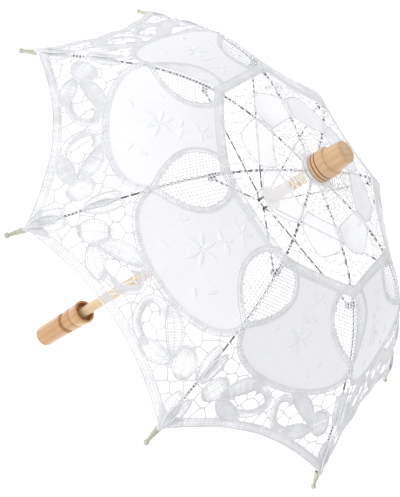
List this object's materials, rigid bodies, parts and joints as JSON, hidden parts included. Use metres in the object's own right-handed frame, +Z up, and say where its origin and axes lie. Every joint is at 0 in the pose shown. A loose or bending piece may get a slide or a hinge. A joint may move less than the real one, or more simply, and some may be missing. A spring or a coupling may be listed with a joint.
{
  "type": "lace parasol",
  "caption": "Open folding parasol: scalloped lace canopy on curved wire ribs with stretchers and a sliding runner, wooden shaft, turned ferrule and handle.",
  "frame": {"origin": "middle of the handle's lower grip, on the shaft's axis", "axes": "+Z up the shaft, from the grip to the ferrule; +X towards the first rib"},
  "size_m": [0.448, 0.448, 0.4038],
  "materials": {
    "shaft_wood": "thin matt varnish on pale dowel",
    "turned_wood": "glossy clear varnish",
    "white_plastic": "moulded, slightly translucent",
    "ivory_plastic": "moulded, smooth",
    "steel_wire": "drawn wire, dull",
    "lace": "white cotton tape lace and plain linen, embroidered"
  },
  "bodies": {
    "frame": {"shaft": "shaft_wood", "ferrule": "turned_wood", "handle": "turned_wood", "crown_ring": "white_plastic", "crown_wire": "steel_wire", "canopy_crown": "lace", "stop_pin": "steel_wire"},
    "runner": {"runner": "white_plastic", "runner_wire": "steel_wire"},
    "top_spring": {"top_spring": "steel_wire"},
    "rib_1": {"rib_1": "steel_wire", "rib_tip_1": "ivory_plastic", "joint_clip_1": "steel_wire", "joint_rivet_1": "steel_wire", "canopy_1": "lace"},
    "stretcher_1": {"stretcher_1": "steel_wire"},
    "rib_2": {"rib_2": "steel_wire", "rib_tip_2": "ivory_plastic", "joint_clip_2": "steel_wire", "joint_rivet_2": "steel_wire", "canopy_2": "lace"},
    "stretcher_2": {"stretcher_2": "steel_wire"},
    "rib_3": {"rib_3": "steel_wire", "rib_tip_3": "ivory_plastic", "joint_clip_3": "steel_wire", "joint_rivet_3": "steel_wire", "canopy_3": "lace"},
    "stretcher_3": {"stretcher_3": "steel_wire"},
    "rib_4": {"rib_4": "steel_wire", "rib_tip_4": "ivory_plastic", "joint_clip_4": "steel_wire", "joint_rivet_4": "steel_wire", "canopy_4": "lace"},
    "stretcher_4": {"stretcher_4": "steel_wire"},
    "rib_5": {"rib_5": "steel_wire", "rib_tip_5": "ivory_plastic", "joint_clip_5": "steel_wire", "joint_rivet_5": "steel_wire", "canopy_5": "lace"},
    "stretcher_5": {"stretcher_5": "steel_wire"},
    "rib_6": {"rib_6": "steel_wire", "rib_tip_6": "ivory_plastic", "joint_clip_6": "steel_wire", "joint_rivet_6": "steel_wire", "canopy_6": "lace"},
    "stretcher_6": {"stretcher_6": "steel_wire"},
    "rib_7": {"rib_7": "steel_wire", "rib_tip_7": "ivory_plastic", "joint_clip_7": "steel_wire", "joint_rivet_7": "steel_wire", "canopy_7": "lace"},
    "stretcher_7": {"stretcher_7": "steel_wire"},
    "rib_8": {"rib_8": "steel_wire", "rib_tip_8": "ivory_plastic", "joint_clip_8": "steel_wire", "joint_rivet_8": "steel_wire", "canopy_8": "lace"},
    "stretcher_8": {"stretcher_8": "steel_wire"}
  },
  "joints": [
    {"name": "runner_slide", "type": "slide", "parent": "frame", "child": "runner", "axis": [0, 0, -1], "range_m": [0, 0.1374], "deforming": ["top_spring"]},
    {"name": "catch_press", "type": "hinge", "parent": "frame", "child": "top_spring", "pos_m": [0.0029, 0.0029, 0.3265], "axis": [-0.7071, 0.7071, 0], "range_deg": [0, 3], "stiffness_Nm_per_rad": 0.1},
    {"name": "rib_hinge_1", "type": "hinge", "parent": "frame", "child": "rib_1", "pos_m": [0.0085, 0, 0.3505], "axis": [0, 1, 0], "range_deg": [0, 59.1], "deforming": ["canopy_1"]},
    {"name": "stretcher_hinge_1", "type": "hinge", "parent": "rib_1", "child": "stretcher_1", "pos_m": [0.10566, 0, 0.33446], "axis": [0, -1, 0], "range_deg": [0, 109.4]},
    {"name": "rib_hinge_2", "type": "hinge", "parent": "frame", "child": "rib_2", "pos_m": [0.00601, 0.00601, 0.3505], "axis": [-0.7071, 0.7071, 0], "range_deg": [0, 59.1], "deforming": ["canopy_2"]},
    {"name": "stretcher_hinge_2", "type": "hinge", "parent": "rib_2", "child": "stretcher_2", "pos_m": [0.07471, 0.07471, 0.33446], "axis": [0.7071, -0.7071, 0], "range_deg": [0, 109.4]},
    {"name": "rib_hinge_3", "type": "hinge", "parent": "frame", "child": "rib_3", "pos_m": [0, 0.0085, 0.3505], "axis": [-1, 0, 0], "range_deg": [0, 59.1], "deforming": ["canopy_3"]},
    {"name": "stretcher_hinge_3", "type": "hinge", "parent": "rib_3", "child": "stretcher_3", "pos_m": [0, 0.10566, 0.33446], "axis": [1, 0, 0], "range_deg": [0, 109.4]},
    {"name": "rib_hinge_4", "type": "hinge", "parent": "frame", "child": "rib_4", "pos_m": [-0.00601, 0.00601, 0.3505], "axis": [-0.7071, -0.7071, 0], "range_deg": [0, 59.1], "deforming": ["canopy_4"]},
    {"name": "stretcher_hinge_4", "type": "hinge", "parent": "rib_4", "child": "stretcher_4", "pos_m": [-0.07471, 0.07471, 0.33446], "axis": [0.7071, 0.7071, 0], "range_deg": [0, 109.4]},
    {"name": "rib_hinge_5", "type": "hinge", "parent": "frame", "child": "rib_5", "pos_m": [-0.0085, 0, 0.3505], "axis": [0, -1, 0], "range_deg": [0, 59.1], "deforming": ["canopy_5"]},
    {"name": "stretcher_hinge_5", "type": "hinge", "parent": "rib_5", "child": "stretcher_5", "pos_m": [-0.10566, 0, 0.33446], "axis": [0, 1, 0], "range_deg": [0, 109.4]},
    {"name": "rib_hinge_6", "type": "hinge", "parent": "frame", "child": "rib_6", "pos_m": [-0.00601, -0.00601, 0.3505], "axis": [0.7071, -0.7071, 0], "range_deg": [0, 59.1], "deforming": ["canopy_6"]},
    {"name": "stretcher_hinge_6", "type": "hinge", "parent": "rib_6", "child": "stretcher_6", "pos_m": [-0.07471, -0.07471, 0.33446], "axis": [-0.7071, 0.7071, 0], "range_deg": [0, 109.4]},
    {"name": "rib_hinge_7", "type": "hinge", "parent": "frame", "child": "rib_7", "pos_m": [0, -0.0085, 0.3505], "axis": [1, 0, 0], "range_deg": [0, 59.1], "deforming": ["canopy_7"]},
    {"name": "stretcher_hinge_7", "type": "hinge", "parent": "rib_7", "child": "stretcher_7", "pos_m": [0, -0.10566, 0.33446], "axis": [-1, 0, 0], "range_deg": [0, 109.4]},
    {"name": "rib_hinge_8", "type": "hinge", "parent": "frame", "child": "rib_8", "pos_m": [0.00601, -0.00601, 0.3505], "axis": [0.7071, 0.7071, 0], "range_deg": [0, 59.1], "deforming": ["canopy_8"]},
    {"name": "stretcher_hinge_8", "type": "hinge", "parent": "rib_8", "child": "stretcher_8", "pos_m": [0.07471, -0.07471, 0.33446], "axis": [-0.7071, -0.7071, 0], "range_deg": [0, 109.4]}
  ],
  "couplings": [
    {"joint": "rib_hinge_1", "follows": "runner_slide", "rad_per_m": 7.4945},
    {"joint": "stretcher_hinge_1", "follows": "runner_slide", "rad_per_m": 13.876},
    {"joint": "rib_hinge_2", "follows": "runner_slide", "rad_per_m": 7.4945},
    {"joint": "stretcher_hinge_2", "follows": "runner_slide", "rad_per_m": 13.876},
    {"joint": "rib_hinge_3", "follows": "runner_slide", "rad_per_m": 7.4945},
    {"joint": "stretcher_hinge_3", "follows": "runner_slide", "rad_per_m": 13.876},
    {"joint": "rib_hinge_4", "follows": "runner_slide", "rad_per_m": 7.4945},
    {"joint": "stretcher_hinge_4", "follows": "runner_slide", "rad_per_m": 13.876},
    {"joint": "rib_hinge_5", "follows": "runner_slide", "rad_per_m": 7.4945},
    {"joint": "stretcher_hinge_5", "follows": "runner_slide", "rad_per_m": 13.876},
    {"joint": "rib_hinge_6", "follows": "runner_slide", "rad_per_m": 7.4945},
    {"joint": "stretcher_hinge_6", "follows": "runner_slide", "rad_per_m": 13.876},
    {"joint": "rib_hinge_7", "follows": "runner_slide", "rad_per_m": 7.4945},
    {"joint": "stretcher_hinge_7", "follows": "runner_slide", "rad_per_m": 13.876},
    {"joint": "rib_hinge_8", "follows": "runner_slide", "rad_per_m": 7.4945},
    {"joint": "stretcher_hinge_8", "follows": "runner_slide", "rad_per_m": 13.876}
  ]
}
